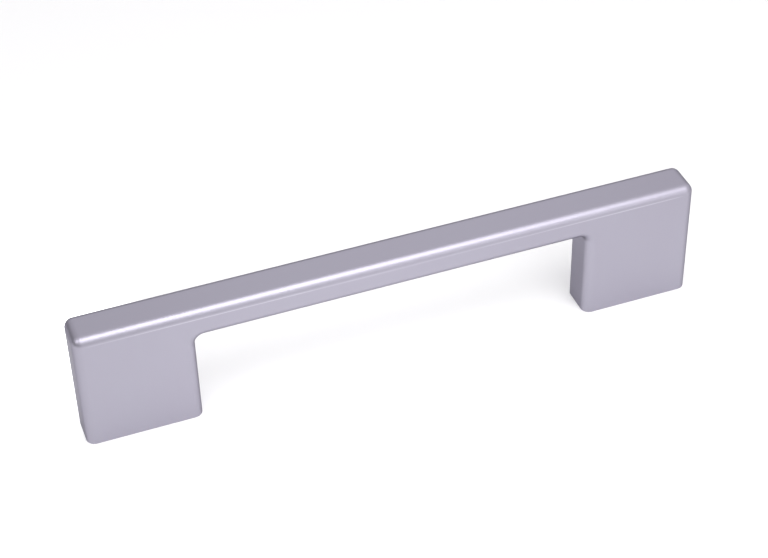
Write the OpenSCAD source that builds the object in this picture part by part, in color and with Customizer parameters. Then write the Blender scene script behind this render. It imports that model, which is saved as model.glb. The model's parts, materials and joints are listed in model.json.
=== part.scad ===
// Cabinet and drawer handle: a straight flat bar that ends in two wide, plate-like feet.
// It is die-cast in one piece, with every outer edge rounded by the same radius, a hollow
// fillet in both corners between bar and foot, and a tapped blind hole in each foot.
// X runs along the bar, Y across it and Z away from the furniture front. The feet stand on
// Z = 0, and the origin lies midway between the two fixing holes.

/* [Grip bar] */
// Height of the bar's top above the furniture front
handle_height = 32.3; // [26:0.1:45]
// Width of the bar and of both feet, across the length
bar_width = 10.4; // [8:0.1:16]
// Thickness of the bar, from its top to its underside
bar_thickness = 7.9; // [6:0.1:12]

/* [Feet] */
// Length of each foot, measured along the bar
foot_length = 28.5; // [16:0.5:40]

/* [Edges] */
// Radius of the rounding along every outer edge
edge_radius = 2.25; // [0.8:0.05:2.6]
// Radius of the hollow fillet in the corner between bar and foot
fillet_radius = 2.3; // [1:0.1:6]

/* [Fixing holes] */
// Distance between the centres of the two fixing holes
hole_spacing = 128; // [64:32:320]
// Diameter of the hole's wall, which carries the screw thread
hole_diameter = 3.3; // [2.5:0.1:4.2]
// Depth of the hole's straight wall above the foot's face
hole_depth = 12; // [8:0.5:18]
// Width of the 45 degree countersink around the hole, where it opens into the foot's face
countersink_width = 0.5; // [0.2:0.05:0.8]
// Angle of the cone that the drill leaves at the hole's end
drill_point_angle = 118; // [90:1:140]

/* [Hidden] */

// Each foot is centred on its fixing hole
handle_length = hole_spacing + foot_length;
// Finger gap between the feet, under the bar
gap_length = hole_spacing - foot_length;
gap_height = handle_height - bar_thickness;
drill_point_depth = hole_diameter / 2 / tan(drill_point_angle / 2);
// How far a cutter runs past the face that it opens into
cut_margin = 1;
metal_colour = [0.71, 0.70, 0.75];
$fn = 64;

// Rectangle that stands on the X axis and has its two upper corners rounded
module rounded_top(length, height, radius) {
    translate([-length / 2, 0]) square([length, height - radius]);
    translate([-length / 2 + radius, 0]) square([length - 2 * radius, height]);
    for (side = [-1, 1])
        translate([side * (length / 2 - radius), height - radius]) circle(radius);
}

// Finger gap as seen from the side, made larger all round by the inset
module gap_outline(inset) {
    rounded_top(gap_length + 2 * inset, gap_height + inset, fillet_radius + inset);
    translate([-gap_length / 2 - inset, -cut_margin])
        square([gap_length + 2 * inset, 2 * cut_margin]);
}

// Bar and both feet as seen from the side, with rounded outer corners
module full_outline() {
    difference() {
        rounded_top(handle_length, handle_height, edge_radius);
        gap_outline(0);
    }
}

// The same outline drawn back by the edge radius: the flat part of the long faces
module flat_outline() {
    difference() {
        translate([-handle_length / 2 + edge_radius, 0])
            square([handle_length - 2 * edge_radius, handle_height - edge_radius]);
        gap_outline(edge_radius);
    }
}

// Stands a side view upright and gives it a width, centred on Y = 0
module across(width) {
    rotate([90, 0, 0]) linear_extrude(height = width, center = true) children();
}

// Straight rounding along X, centred over the origin
module round_along(length) {
    rotate([0, 90, 0]) cylinder(r = edge_radius, h = length, center = true);
}

// Rounding that follows the hollow fillet from the foot's inner edge to the bar's underside
module round_in_fillet() {
    rotate([90, 0, 0])
        rotate_extrude(angle = 90)
            translate([fillet_radius + edge_radius, 0]) circle(edge_radius);
}

// All the roundings of one long face
module edge_rounds() {
    outer_x = handle_length / 2 - edge_radius;
    inner_x = gap_length / 2 + edge_radius;
    fillet_x = gap_length / 2 - fillet_radius;
    fillet_z = gap_height - fillet_radius;
    translate([0, 0, handle_height - edge_radius]) round_along(2 * outer_x);
    translate([0, 0, gap_height + edge_radius]) round_along(2 * fillet_x);
    for (end = [0, 1]) mirror([end, 0, 0]) {
        translate([outer_x, 0, handle_height - edge_radius]) sphere(edge_radius);
        translate([outer_x, 0, 0]) cylinder(r = edge_radius, h = handle_height - edge_radius);
        translate([inner_x, 0, 0]) cylinder(r = edge_radius, h = fillet_z);
        translate([fillet_x, 0, fillet_z]) round_in_fillet();
    }
}

// Blind hole for the fixing screw, opening downwards at the origin
module fixing_hole() {
    translate([0, 0, -cut_margin]) cylinder(d = hole_diameter, h = hole_depth + cut_margin);
    translate([0, 0, -cut_margin])
        cylinder(
            d1 = hole_diameter + 2 * (countersink_width + cut_margin),
            d2 = hole_diameter,
            h = countersink_width + cut_margin
        );
    translate([0, 0, hole_depth]) cylinder(d1 = hole_diameter, d2 = 0, h = drill_point_depth);
}

module handle() {
    color(metal_colour) difference() {
        union() {
            across(bar_width - 2 * edge_radius) full_outline();
            across(bar_width) flat_outline();
            for (side = [-1, 1])
                translate([0, side * (bar_width / 2 - edge_radius), 0]) edge_rounds();
        }
        for (side = [-1, 1]) translate([side * hole_spacing / 2, 0, 0]) fixing_hole();
    }
}

handle();
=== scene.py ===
import json
import math
from collections import namedtuple

import bpy
from mathutils import Matrix, Vector


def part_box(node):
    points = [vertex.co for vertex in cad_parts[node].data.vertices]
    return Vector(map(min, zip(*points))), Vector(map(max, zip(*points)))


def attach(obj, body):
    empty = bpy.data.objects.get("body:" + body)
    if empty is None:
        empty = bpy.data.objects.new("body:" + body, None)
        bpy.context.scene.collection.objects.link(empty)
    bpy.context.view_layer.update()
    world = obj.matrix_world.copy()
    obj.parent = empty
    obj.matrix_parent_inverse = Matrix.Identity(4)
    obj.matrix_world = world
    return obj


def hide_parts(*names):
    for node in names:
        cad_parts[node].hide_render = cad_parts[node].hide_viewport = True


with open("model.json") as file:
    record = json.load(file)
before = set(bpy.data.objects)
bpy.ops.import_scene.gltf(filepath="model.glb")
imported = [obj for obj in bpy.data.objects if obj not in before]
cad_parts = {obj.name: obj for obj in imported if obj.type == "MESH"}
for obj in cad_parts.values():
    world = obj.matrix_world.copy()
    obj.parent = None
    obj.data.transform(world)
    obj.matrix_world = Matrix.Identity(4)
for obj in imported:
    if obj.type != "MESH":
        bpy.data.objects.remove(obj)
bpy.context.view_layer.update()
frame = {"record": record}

# The mesh is worked out in millimetres and scaled to metres when it is made
MM = 0.001

# Sizes that the frame gives
box_low, box_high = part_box("handle")
LENGTH, WIDTH, HEIGHT = ((high - low) / MM for low, high in zip(box_low, box_high))
mounts = {mount["name"]: mount for mount in frame["record"]["mounts"]}
HOLE_SPACING = mounts["fixing_holes"]["dims"]["spacing_x_mm"]
HOLE_RADIUS = mounts["left_screw_hole"]["dims"]["r_mm"]
COUNTERSINK = mounts["left_screw_hole"]["pos_m"][2] / MM
HOLE_DEPTH = COUNTERSINK + mounts["left_screw_hole"]["dims"]["length_mm"]

# Sizes that repeat the solid's own
BAR_THICKNESS = 7.9
EDGE_RADIUS = 2.25
FILLET_RADIUS = 2.3
DRILL_POINT_ANGLE = math.radians(118)

# Each foot is centred on its hole
FOOT_LENGTH = LENGTH - HOLE_SPACING
GAP_HALF = (HOLE_SPACING - FOOT_LENGTH) / 2
GAP_HEIGHT = HEIGHT - BAR_THICKNESS
WALL_HALF = WIDTH / 2 - EDGE_RADIUS

# The cut edge round each foot's face, barely broken
EDGE_BREAK = 0.12
BREAK_STEPS = 3

# The crease where the top's rounding meets the long faces: the rounding dips a little just
# before it, and beside it the metal is made smoother by rubbing and carries a painted sheen,
# a lighter colour standing in for the light the crease catches
CREASE_SINK = 0.012
CREASE_ANGLE = math.radians(14)
CREASE_FADE = 3.0
RUB_SHEEN_WIDTH = 0.24
RUB_SHEEN_SPACING = (0.1, 0.2, 0.32, 0.5, 0.75)
# The painted sheen and the rubbing come and go along the handle
RUB_SHEEN_LEAST = 0.35
RUB_SHEEN_PEAK = -42
RUB_SHEEN_PERIOD = 100

# The screw thread in the holes. Its shape is one turn, as the share of the pitch and the
# share of the thread's depth.
THREAD_PITCH = 0.7
THREAD_DEPTH = 0.35
PLAIN_END = 1.4
THREAD_END = HOLE_DEPTH - PLAIN_END
THREAD_FADE = 0.35
THREAD_SHAPE = (
    (0, 0), (0.15, 0), (0.3, 0), (0.445, 0.5), (0.59, 1), (0.65, 1), (0.71, 1), (0.855, 0.5)
)

# How finely the surface is divided
COARSE_ANGLES = [math.radians(8 * i) for i in range(1, 10)]
CREASE_ANGLES = [math.radians(a) for a in (75, 78, 81, 83.5, 86, 88, 90)]
PLAIN_ANGLES = [math.radians(7.5 * i) for i in range(1, 13)]
ARC_STEPS = 14
FOOT_STEPS = 14
BAR_STEPS = 32
# Above 1, the steps along the bar crowd towards its ends
BAR_CROWDING = 1.4
WALL_STEPS = 4
FLAT_STEPS = 12
CAP_SHARES = (0.06, 0.2, 0.4, 0.6, 0.8, 1)
CONE_SHARES = (0, 0.5, 1)
# Spots that agree to this many decimals of a millimetre share a vertex
SHARED_DECIMALS = 4

UP = Vector((0, 0, 1))

# A place on the surface: where it is, its normal and how strong the rubbing and the painted sheen
# are there
Spot = namedtuple("Spot", "point normal polish")

# A cut through the handle, as seen from the side: a point and its normal on the outer
# outline and on the inner one, and how marked the crease is there
Station = namedtuple("Station", "outer outer_normal inner inner_normal crease")


def smooth_step(share):
    share = min(1.0, max(0.0, share))
    return share * share * (3 - 2 * share)


def quarter_arc(centre, radius):
    """Points and radial directions on an arc from the left to the top of its circle."""
    for i in range(ARC_STEPS + 1):
        angle = math.pi / 2 * (2 - i / ARC_STEPS)
        radial = Vector((math.cos(angle), math.sin(angle)))
        yield centre + radial * radius, radial


def left_stations():
    """Stations from the left foot's face round the corner and on to the bar's middle."""
    left = -LENGTH / 2
    outer_corner = Vector((left + EDGE_RADIUS, HEIGHT - EDGE_RADIUS))
    inner_corner = Vector((-GAP_HALF + FILLET_RADIUS, GAP_HEIGHT - FILLET_RADIUS))
    stations = []
    for i in range(FOOT_STEPS):
        share = i / FOOT_STEPS
        outer_z = EDGE_BREAK + (outer_corner.y - EDGE_BREAK) * share
        inner_z = EDGE_BREAK + (inner_corner.y - EDGE_BREAK) * share
        outer, inner = Vector((left, outer_z)), Vector((-GAP_HALF, inner_z))
        stations.append(Station(outer, Vector((-1, 0)), inner, Vector((1, 0)), 0))
    arcs = zip(quarter_arc(outer_corner, EDGE_RADIUS), quarter_arc(inner_corner, FILLET_RADIUS))
    for (outer, outward), (inner, radial) in arcs:
        stations.append(Station(outer, outward, inner, -radial, 0))
    for i in range(1, BAR_STEPS + 1):
        left_share = 1 - (i / BAR_STEPS) ** BAR_CROWDING
        outer = Vector((outer_corner.x * left_share, HEIGHT))
        inner = Vector((inner_corner.x * left_share, GAP_HEIGHT))
        crease = smooth_step((outer.x - outer_corner.x) / CREASE_FADE)
        stations.append(Station(outer, Vector((0, 1)), inner, Vector((0, -1)), crease))
    return stations


def all_stations():
    """Stations from the left foot's face to the right foot's."""
    left = left_stations()
    flip = Vector((-1, 1))
    right = [
        Station(*(vector * flip for vector in station[:4]), station.crease)
        for station in reversed(left[:-1])
    ]
    return left + right


def creased_radius(angle, crease):
    """Radius of the top's rounding, which dips just before it meets the long face."""
    share = max(0.0, (angle - (math.pi / 2 - CREASE_ANGLE)) / CREASE_ANGLE)
    return EDGE_RADIUS - CREASE_SINK * crease * math.sin(math.pi * share ** 2)


def rub_and_sheen_at(station, distance):
    """How strong the rubbing and its painted sheen are at a distance from the station's crease."""
    wave = 0.5 + 0.5 * math.cos(2 * math.pi * (station.outer.x - RUB_SHEEN_PEAK) / RUB_SHEEN_PERIOD)
    rub_sheen_share = RUB_SHEEN_LEAST + (1 - RUB_SHEEN_LEAST) * wave
    return station.crease * rub_sheen_share * math.exp(-(distance / RUB_SHEEN_WIDTH) ** 2)


def outer_rounding(station, side):
    """Spots from the outer wall round to the long face on one side."""
    step = 0.001
    spots = []
    for angle in COARSE_ANGLES + CREASE_ANGLES:
        radius = creased_radius(angle, station.crease)
        slope = (radius - creased_radius(angle - step, station.crease)) / step / radius
        tilt = angle - math.atan(slope) if angle < math.pi / 2 else angle
        in_plane = station.outer - station.outer_normal * (EDGE_RADIUS - radius * math.cos(angle))
        normal = station.outer_normal * math.cos(tilt)
        spots.append(Spot(
            Vector((in_plane.x, side * (WALL_HALF + radius * math.sin(angle)), in_plane.y)),
            Vector((normal.x, side * math.sin(tilt), normal.y)),
            rub_and_sheen_at(station, (math.pi / 2 - angle) * EDGE_RADIUS),
        ))
    return spots


def inner_rounding(station, side):
    """Spots from the inner wall round to the long face on one side."""
    spots = []
    for angle in PLAIN_ANGLES:
        in_plane = station.inner - station.inner_normal * EDGE_RADIUS * (1 - math.cos(angle))
        normal = station.inner_normal * math.cos(angle)
        spots.append(Spot(
            Vector((in_plane.x, side * (WALL_HALF + EDGE_RADIUS * math.sin(angle)), in_plane.y)),
            Vector((normal.x, side * math.sin(angle), normal.y)),
            0,
        ))
    return spots


def wall(point, normal, side):
    """Spots across the handle on its outer or inner wall, ending on the given side."""
    spots = []
    for i in range(WALL_STEPS + 1):
        y = side * WALL_HALF * (2 * i / WALL_STEPS - 1)
        spots.append(Spot(Vector((point.x, y, point.y)), Vector((normal.x, 0, normal.y)), 0))
    return spots


def long_face(station, side):
    """Spots on the flat long face, from beside the crease to short of the inner rounding."""
    first = station.outer - station.outer_normal * EDGE_RADIUS
    last = station.inner - station.inner_normal * EDGE_RADIUS
    width = (last - first).length
    start = RUB_SHEEN_SPACING[-1]
    distances = list(RUB_SHEEN_SPACING[:-1])
    distances += [start + (width - start) * i / FLAT_STEPS for i in range(FLAT_STEPS)]
    spots = []
    for distance in distances:
        at = first.lerp(last, distance / width)
        # How strong the painted sheen and the rubbing are here
        polish = rub_and_sheen_at(station, distance)
        spots.append(Spot(Vector((at.x, side * WIDTH / 2, at.y)), Vector((0, side, 0)), polish))
    return spots


def section(station):
    """The closed ring of spots round the handle at a station, from the middle of the outer wall."""
    ring = wall(station.outer, station.outer_normal, 1)
    ring += outer_rounding(station, 1)
    ring += long_face(station, 1)
    ring += reversed(inner_rounding(station, 1))
    ring += wall(station.inner, station.inner_normal, -1)
    ring += inner_rounding(station, -1)
    ring += reversed(long_face(station, -1))
    ring += reversed(outer_rounding(station, -1))
    start = WALL_STEPS // 2
    return ring[start:] + ring[:start]


class Skin:
    """Gathers faces from rows of spots and makes one closed mesh with its own normals."""

    def __init__(self):
        self.points = []
        self.polish = []
        self.known = {}
        self.faces = []
        self.normals = []

    def vertex(self, spot):
        """Index of the spot's vertex. Spots at the same place share one."""
        key = tuple(round(c, SHARED_DECIMALS) for c in spot.point)
        if key not in self.known:
            self.known[key] = len(self.points)
            self.points.append(spot.point * MM)
            self.polish.append(spot.polish)
        return self.known[key]

    def face(self, spots):
        corners = {}
        for spot in spots:
            corners.setdefault(self.vertex(spot), spot)
        if len(corners) < 3:
            return
        rows = list(corners.items())
        a, b, c = (rows[i][1].point for i in range(3))
        facing = (b - a).cross(c - a)
        if len(rows) == 4:
            facing = (c - a).cross(rows[3][1].point - b)
        if facing.dot(sum((spot.normal for _, spot in rows), Vector())) < 0:
            rows.reverse()
        self.faces.append([index for index, _ in rows])
        self.normals += [spot.normal.normalized() for _, spot in rows]

    def join(self, row_a, row_b, closed=True):
        """Fills the band between two rows of as many spots."""
        for i in range(len(row_a) - (0 if closed else 1)):
            j = (i + 1) % len(row_a)
            self.face((row_a[i], row_a[j], row_b[j], row_b[i]))

    def make(self, name, material):
        mesh = bpy.data.meshes.new(name)
        mesh.from_pydata(self.points, [], self.faces)
        mesh.polygons.foreach_set("use_smooth", [True] * len(mesh.polygons))
        # The painted sheen along the crease, with its rubbing, as a share at each vertex
        polish = mesh.attributes.new("polish", "FLOAT", "POINT")
        polish.data.foreach_set("value", self.polish)
        mesh.normals_split_custom_set(self.normals)
        mesh.materials.append(material)
        piece = bpy.data.objects.new(name, mesh)
        bpy.context.scene.collection.objects.link(piece)
        return piece


def thread_share(turn):
    """Depth of the thread, as a share, at a place within one turn."""
    turn %= 1
    rows = THREAD_SHAPE + ((1, 0),)
    for (start, low), (end, high) in zip(rows, rows[1:]):
        if turn <= end:
            return low + (high - low) * (turn - start) / (end - start)


def hole_radius(angle, z):
    """Radius of the hole's wall, with countersink and thread, at a height above the foot's face."""
    cone = HOLE_RADIUS + max(0.0, COUNTERSINK - z)
    depth = THREAD_DEPTH * min(1.0, max(0.0, (THREAD_END - z) / THREAD_FADE))
    share = thread_share(z / THREAD_PITCH - angle / (2 * math.pi))
    return max(cone, HOLE_RADIUS + depth * share)


def hole_spot(centre_x, angle, z):
    step = 0.01
    radius = hole_radius(angle, z)
    rise = (hole_radius(angle, z + step) - hole_radius(angle, z - step)) / (2 * step)
    turn_step = step / HOLE_RADIUS
    twist = (hole_radius(angle + turn_step, z) - hole_radius(angle - turn_step, z)) / (2 * step)
    radial = Vector((math.cos(angle), math.sin(angle), 0))
    tangent = UP.cross(radial)
    return Spot(Vector((centre_x, 0, z)) + radial * radius, tangent * twist + UP * rise - radial, 0)


def screw_hole(skin, centre_x, side, count):
    """Countersink, thread, plain end and drill point of one hole, and the spots at its mouth.

    Its columns start at the outer wall's side and go round by way of the back.
    """
    start = 0 if side > 0 else math.pi
    angles = [start + side * 2 * math.pi * i / count for i in range(count + 1)]
    # Turns of the thread that are tried beyond both ends of the hole
    spare_turns = 3
    rows = []
    for turn in range(-spare_turns, int(THREAD_END / THREAD_PITCH) + spare_turns + 1):
        for share, _ in THREAD_SHAPE:
            heights = [(turn + share + a / (2 * math.pi)) * THREAD_PITCH for a in angles]
            heights = [min(THREAD_END, max(0.0, z)) for z in heights]
            if max(heights) > 0 and min(heights) < THREAD_END:
                rows.append([hole_spot(centre_x, a, z) for a, z in zip(angles, heights)])
    mouth = [hole_spot(centre_x, a, 0.0) for a in angles]
    thread_end = [hole_spot(centre_x, a, THREAD_END) for a in angles]
    rows = [mouth] + rows + [thread_end]
    rows.append([hole_spot(centre_x, a, HOLE_DEPTH) for a in angles])
    for row_a, row_b in zip(rows, rows[1:]):
        skin.join(row_a, row_b, closed=False)

    half = DRILL_POINT_ANGLE / 2
    point_depth = HOLE_RADIUS / math.tan(half)
    cone = []
    for share in CONE_SHARES:
        row = []
        for a in angles:
            radial = Vector((math.cos(a), math.sin(a), 0))
            at = Vector((centre_x, 0, HOLE_DEPTH + point_depth * share))
            row.append(Spot(
                at + radial * HOLE_RADIUS * (1 - share),
                -radial * math.cos(half) - UP * math.sin(half),
                0,
            ))
        cone.append(row)
    for row_a, row_b in zip(cone, cone[1:]):
        skin.join(row_a, row_b, closed=False)
    return mouth[:count]


def foot_face(skin, ring, side):
    """Closes a foot below its lowest ring: the broken edge, the flat face and the screw hole."""
    previous = ring
    for i in range(1, BREAK_STEPS + 1):
        angle = math.pi / 2 * i / BREAK_STEPS
        row = []
        for spot in ring:
            point = spot.point - spot.normal * EDGE_BREAK * (1 - math.cos(angle))
            point.z = EDGE_BREAK * (1 - math.sin(angle))
            row.append(Spot(point, spot.normal * math.cos(angle) - UP * math.sin(angle), 0))
        skin.join(previous, row)
        previous = row
    rim = previous
    mouth = screw_hole(skin, side * HOLE_SPACING / 2, side, len(ring))
    for share in CAP_SHARES:
        row = [Spot(a.point.lerp(b.point, share), -UP, 0) for a, b in zip(rim, mouth)]
        skin.join(previous, row)
        previous = row


def build_handle(material):
    skin = Skin()
    rings = [section(station) for station in all_stations()]
    for ring_a, ring_b in zip(rings, rings[1:]):
        skin.join(ring_a, ring_b)
    foot_face(skin, rings[0], -1)
    foot_face(skin, rings[-1], 1)
    return skin.make("handle_body", material)


def add_node(tree, kind, inputs=(), **settings):
    """Adds a node, sets it up and fills or links its inputs.

    They are given as pairs of an input and a value or another node's output.
    """
    node = tree.nodes.new(kind)
    for name, value in settings.items():
        setattr(node, name, value)
    for name, value in inputs:
        if isinstance(value, bpy.types.NodeSocket):
            tree.links.new(value, node.inputs[name])
        else:
            node.inputs[name].default_value = value
    return node


def noise(tree, place, scale, detail):
    """Noise from 0 to 1 around 0.5. Scale counts its features in a metre."""
    settings = (("Vector", place), ("Scale", scale), ("Detail", detail))
    return add_node(tree, "ShaderNodeTexNoise", settings).outputs["Fac"]


def metal_material():
    """Satin plating with a fine matt grain; along the crease the rubbing makes it smoother and a
    lighter colour is painted on as a sheen.
    """
    plating = (0.405, 0.382, 0.456, 1)
    plating_pale = (0.410, 0.400, 0.467, 1)
    # A painted sheen: the lighter colour along the crease that stands in for the light it catches
    painted_sheen = (0.545, 0.532, 0.605, 1)
    # How bright the metal is where it is seen at a grazing angle
    edge_reflection = 0.28
    # Plain roughness, what the grain adds or takes away, and what the rubbing takes away
    roughness, grain_roughness, rubbed_roughness = 0.40, 0.05, 0.07
    # Features in a metre
    cloud_scale, streak_scale, wave_scale, grain_scale, patch_scale = 38, 420, 110, 4200, 70
    # The streaks are long in height, and this is their share in the tint
    streak_stretch, streak_share = (1, 1, 0.12), 0.35
    # Strength and height in metres
    wave_bump, grain_bump = (0.25, 0.00004), (0.5, 0.00002)
    # The rubbing and the painted sheen are at their least share below the low limit of its noise,
    # and full above the high
    patch_low, patch_high, patch_least = 0.38, 0.62, 0.7

    material = bpy.data.materials.new("satin_metal")
    material.use_nodes = True
    tree = material.node_tree
    shader = tree.nodes["Principled BSDF"]
    place = add_node(tree, "ShaderNodeTexCoord").outputs["Object"]

    clouds = noise(tree, place, cloud_scale, 2)
    streaks = add_node(tree, "ShaderNodeMapping", [("Vector", place), ("Scale", streak_stretch)])
    streaks = noise(tree, streaks.outputs["Vector"], streak_scale, 2)
    waves = noise(tree, place, wave_scale, 1)
    grain = noise(tree, place, grain_scale, 2)

    # Small patches in the crease's rubbing and its painted sheen
    patches = add_node(tree, "ShaderNodeMapRange", [
        ("Value", noise(tree, place, patch_scale, 1)),
        ("From Min", patch_low), ("From Max", patch_high), ("To Min", patch_least),
    ]).outputs["Result"]
    polish = add_node(tree, "ShaderNodeAttribute", attribute_name="polish").outputs["Fac"]
    polish = add_node(
        tree, "ShaderNodeMath", [(0, polish), (1, patches)], operation="MULTIPLY", use_clamp=True
    ).outputs["Value"]

    uneven = add_node(tree, "ShaderNodeMix", [(0, streak_share), (2, clouds), (3, streaks)])
    tint = add_node(
        tree, "ShaderNodeMix", [(0, uneven.outputs[0]), (6, plating), (7, plating_pale)],
        data_type="RGBA",
    ).outputs[2]
    # The painted sheen: the colour is lighter along the crease
    tint = add_node(
        tree, "ShaderNodeMix", [(0, polish), (6, tint), (7, painted_sheen)], data_type="RGBA"
    ).outputs[2]
    tree.links.new(tint, shader.inputs["Base Color"])

    rough = add_node(tree, "ShaderNodeMapRange", [
        ("Value", grain),
        ("To Min", roughness - grain_roughness), ("To Max", roughness + grain_roughness),
    ]).outputs["Result"]
    rough = add_node(
        tree, "ShaderNodeMath", [(0, polish), (1, -rubbed_roughness), (2, rough)],
        operation="MULTIPLY_ADD",
    ).outputs["Value"]
    tree.links.new(rough, shader.inputs["Roughness"])

    bump = add_node(tree, "ShaderNodeBump", [
        ("Strength", wave_bump[0]), ("Distance", wave_bump[1]), ("Height", waves),
    ])
    bump = add_node(tree, "ShaderNodeBump", [
        ("Strength", grain_bump[0]), ("Distance", grain_bump[1]), ("Height", grain),
        ("Normal", bump.outputs["Normal"]),
    ])
    tree.links.new(bump.outputs["Normal"], shader.inputs["Normal"])

    shader.inputs["Metallic"].default_value = 1.0
    shader.inputs["Specular Tint"].default_value = (edge_reflection,) * 3 + (1,)
    return material


def floor_material():
    """Pale matt floor that glows, with painted pools of light in front of the handle and behind its
    left end, and a painted shade under it.
    """
    glow = 0.06
    # Centre and half size of each soft pool in metres, and how much it adds in its middle: the
    # first two are painted pools of light, the last a painted shade that takes light away
    pools = (
        ((0, -0.024, 0), (0.17, 0.08, 1), 0.36),
        ((-0.080, 0.038, 0), (0.028, 0.044, 1), 2.05),
        ((0, -0.002, 0), (0.14, 0.018, 1), -0.09),
    )
    material = bpy.data.materials.new("pale_floor")
    material.use_nodes = True
    tree = material.node_tree
    shader = tree.nodes["Principled BSDF"]
    place = add_node(tree, "ShaderNodeTexCoord").outputs["Object"]
    for centre, half_size, gain in pools:
        offset = add_node(
            tree, "ShaderNodeVectorMath", [(0, place), (1, centre)], operation="SUBTRACT"
        ).outputs[0]
        offset = add_node(
            tree, "ShaderNodeVectorMath", [(0, offset), (1, half_size)], operation="DIVIDE"
        ).outputs[0]
        pool = add_node(
            tree, "ShaderNodeTexGradient", [("Vector", offset)], gradient_type="SPHERICAL"
        ).outputs["Fac"]
        glow = add_node(
            tree, "ShaderNodeMath", [(0, pool), (1, gain), (2, glow)], operation="MULTIPLY_ADD"
        ).outputs["Value"]
    tree.links.new(glow, shader.inputs["Emission Strength"])
    shader.inputs["Base Color"].default_value = (0.80, 0.80, 0.80, 1)
    shader.inputs["Roughness"].default_value = 1.0
    shader.inputs["Specular IOR Level"].default_value = 0.0
    shader.inputs["Emission Color"].default_value = (1, 1, 1, 1)
    return material


def build_floor():
    half = 1.5
    mesh = bpy.data.meshes.new("floor")
    corners = [(-half, -half, 0), (half, -half, 0), (half, half, 0), (-half, half, 0)]
    mesh.from_pydata(corners, [], [(0, 1, 2, 3)])
    mesh.materials.append(floor_material())
    floor = bpy.data.objects.new("floor", mesh)
    bpy.context.scene.collection.objects.link(floor)


def build_camera():
    """The photograph's view, recovered from the handle's outline in it."""
    azimuth = math.radians(-19.31)
    elevation = math.radians(40.01)
    roll = math.radians(-1.594)
    distance = 0.47002
    target = Vector((-1.54, 0, 23.45)) * MM
    picture_width = 768
    focal_pixels = 1961.2
    back = Vector((
        math.sin(azimuth) * math.cos(elevation),
        -math.cos(azimuth) * math.cos(elevation),
        math.sin(elevation),
    ))
    right = UP.cross(back).normalized()
    up = back.cross(right)
    tilted_right = right * math.cos(roll) + up * math.sin(roll)
    tilted_up = up * math.cos(roll) - right * math.sin(roll)
    camera = bpy.data.cameras.new("camera")
    camera.sensor_width = 36
    camera.lens = camera.sensor_width * focal_pixels / picture_width
    camera.clip_start = 0.01
    holder = bpy.data.objects.new("camera", camera)
    rotation = Matrix((tilted_right, tilted_up, back)).transposed().to_4x4()
    holder.matrix_world = Matrix.Translation(target + back * distance) @ rotation
    bpy.context.scene.collection.objects.link(holder)
    bpy.context.scene.camera = holder


# Name, place, width, height and brightness of each soft light. The corner light joins the
# key's reflection to the left one's on the handle's left corner.
LIGHTS = (
    ("key", (0.11, -0.30, 0.585), 0.33, 0.53, 3.3),
    ("fill", (0.24, -0.55, 0.17), 0.42, 0.22, 1.15),
    ("back", (0.125, 0.36, 0.32), 0.24, 0.20, 0.25),
    ("left", (-0.45, -0.18, 0.49), 0.36, 0.30, 2.0),
    ("corner", (-0.17, -0.25, 0.57), 0.12, 0.30, 2.2),
)


def softbox(name, place, width, height, brightness):
    """A rectangular soft light that faces the handle, in metres. Brightness 1 looks just white."""
    light = bpy.data.lights.new(name, "AREA")
    light.shape = "RECTANGLE"
    light.size = width
    light.size_y = height
    light.energy = brightness * math.pi * width * height
    holder = bpy.data.objects.new(name, light)
    holder.location = place
    holder.rotation_euler = Vector(place).to_track_quat("Z", "Y").to_euler()
    bpy.context.scene.collection.objects.link(holder)


def build_world():
    """A pale tent round the floor, dimmer at the horizon and on the left."""
    horizon, high = 0.34, 0.86
    horizon_height, high_height = -0.05, 0.48
    right_gain = 0.16
    # How much higher the dim horizon reaches at the far left than in the middle
    tilt = 0.20
    backdrop = 0.73
    colour = (0.99, 0.98, 1.0, 1)
    world = bpy.data.worlds.new("studio")
    bpy.context.scene.world = world
    world.use_nodes = True
    tree = world.node_tree
    direction = add_node(tree, "ShaderNodeTexCoord").outputs["Generated"]
    direction = add_node(tree, "ShaderNodeSeparateXYZ", [(0, direction)])
    tilted = add_node(tree, "ShaderNodeMath", [
        (0, direction.outputs["X"]), (1, tilt), (2, direction.outputs["Z"])
    ], operation="MULTIPLY_ADD")
    rise = add_node(tree, "ShaderNodeMapRange", [
        ("Value", tilted.outputs["Value"]), ("From Min", horizon_height), ("From Max", high_height),
        ("To Min", horizon), ("To Max", high),
    ], interpolation_type="SMOOTHSTEP")
    level = add_node(tree, "ShaderNodeMath", [
        (0, direction.outputs["X"]), (1, right_gain), (2, rise.outputs["Result"])
    ], operation="MULTIPLY_ADD")
    # Seen straight, past the floor's end, the tent is as pale as the floor
    direct = add_node(tree, "ShaderNodeLightPath").outputs["Is Camera Ray"]
    level = add_node(tree, "ShaderNodeMix", [
        (0, direct), (2, level.outputs["Value"]), (3, backdrop)
    ])
    background = tree.nodes["Background"]
    background.inputs["Color"].default_value = colour
    tree.links.new(level.outputs[0], background.inputs["Strength"])


bpy.context.scene.view_settings.view_transform = "Standard"
build_camera()
build_world()
build_floor()
for light in LIGHTS:
    softbox(*light)
handle = build_handle(metal_material())
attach(handle, "root")
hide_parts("handle")
